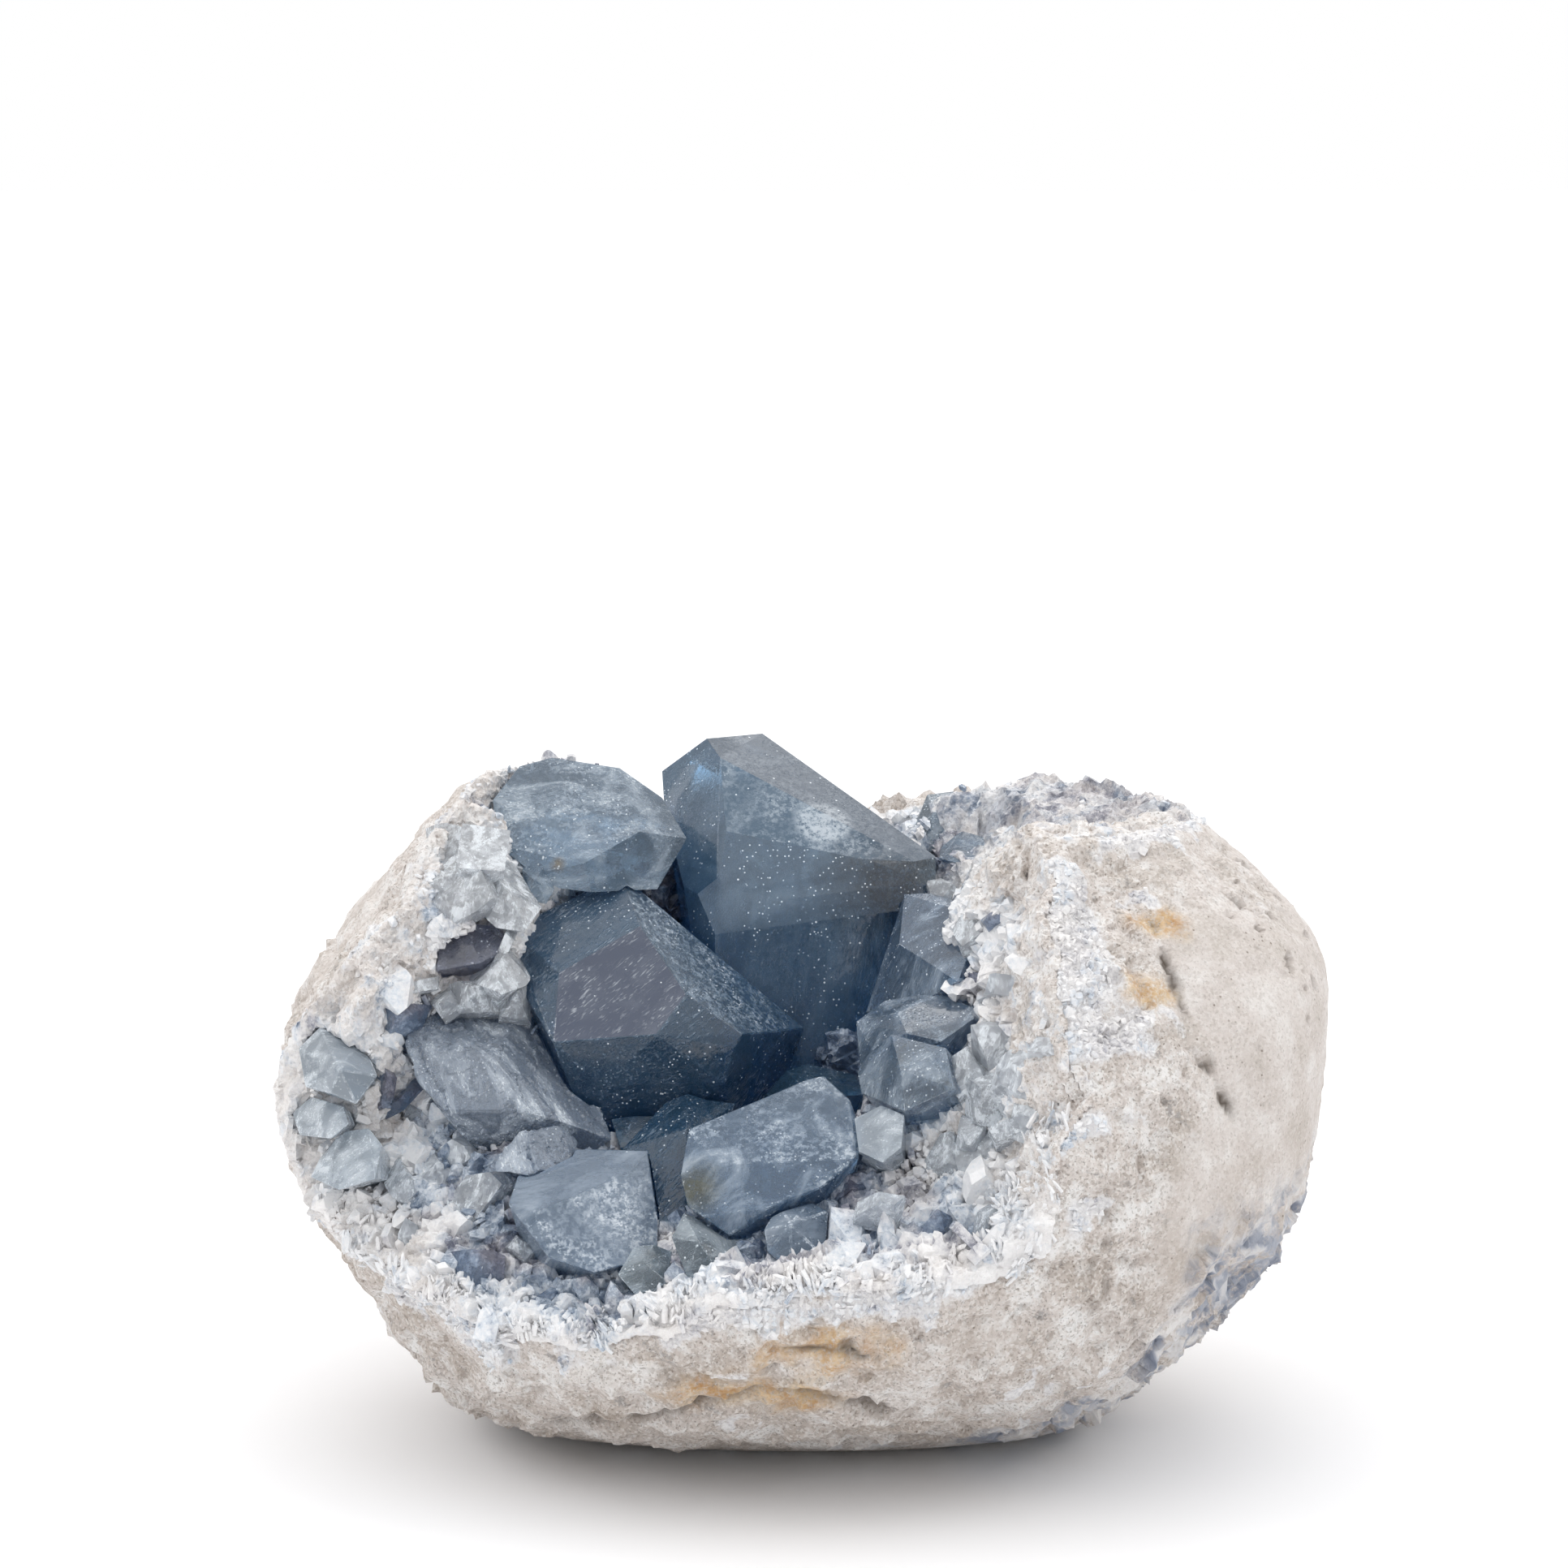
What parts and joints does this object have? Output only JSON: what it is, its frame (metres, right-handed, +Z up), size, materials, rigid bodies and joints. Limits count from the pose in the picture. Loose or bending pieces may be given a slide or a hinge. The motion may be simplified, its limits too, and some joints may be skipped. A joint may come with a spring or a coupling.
{
  "type": "celestite crystal cluster",
  "caption": "Broken marl nodule whose hollow is lined with a white crystal crust and filled with large pale to deep blue celestite crystals.",
  "frame": {"origin": "middle of the bounding box's base, on the surface the nodule rests on", "axes": "+Z up, +Y from the open front to the back, +X to the right of a person who looks into the hollow"},
  "size_m": [0.1476, 0.1136, 0.0945],
  "materials": {
    "rock": "matt, chalky, lightly pitted",
    "crust": "sugary, part translucent",
    "pale_crystal": "clear to milky, bright faces",
    "deep_crystal": "clear, deep blue-grey, smooth faces with fine growth lines"
  },
  "bodies": {
    "root": {"rock_rind": "rock", "crystal_crust": "crust", "great_crystal": "deep_crystal", "centre_crystal": "deep_crystal", "left_crest_crystals": "pale_crystal", "left_wall_crystals": "pale_crystal", "upper_wall_crystal": "pale_crystal", "left_rim_crystal_upper": "pale_crystal", "left_rim_crystal_middle": "pale_crystal", "left_rim_crystal_lower": "pale_crystal", "front_left_crystal": "pale_crystal", "front_right_crystal": "pale_crystal", "front_crystal_left": "pale_crystal", "front_crystal_middle": "pale_crystal", "front_crystal_right": "pale_crystal", "floor_crystal_dark": "deep_crystal", "floor_crystal_violet": "deep_crystal", "floor_crystal_right": "deep_crystal", "right_wall_crystals": "pale_crystal", "right_foot_crystal": "pale_crystal", "back_rim_crystal": "pale_crystal", "back_rim_chunk": "deep_crystal"}
  },
  "joints": []
}
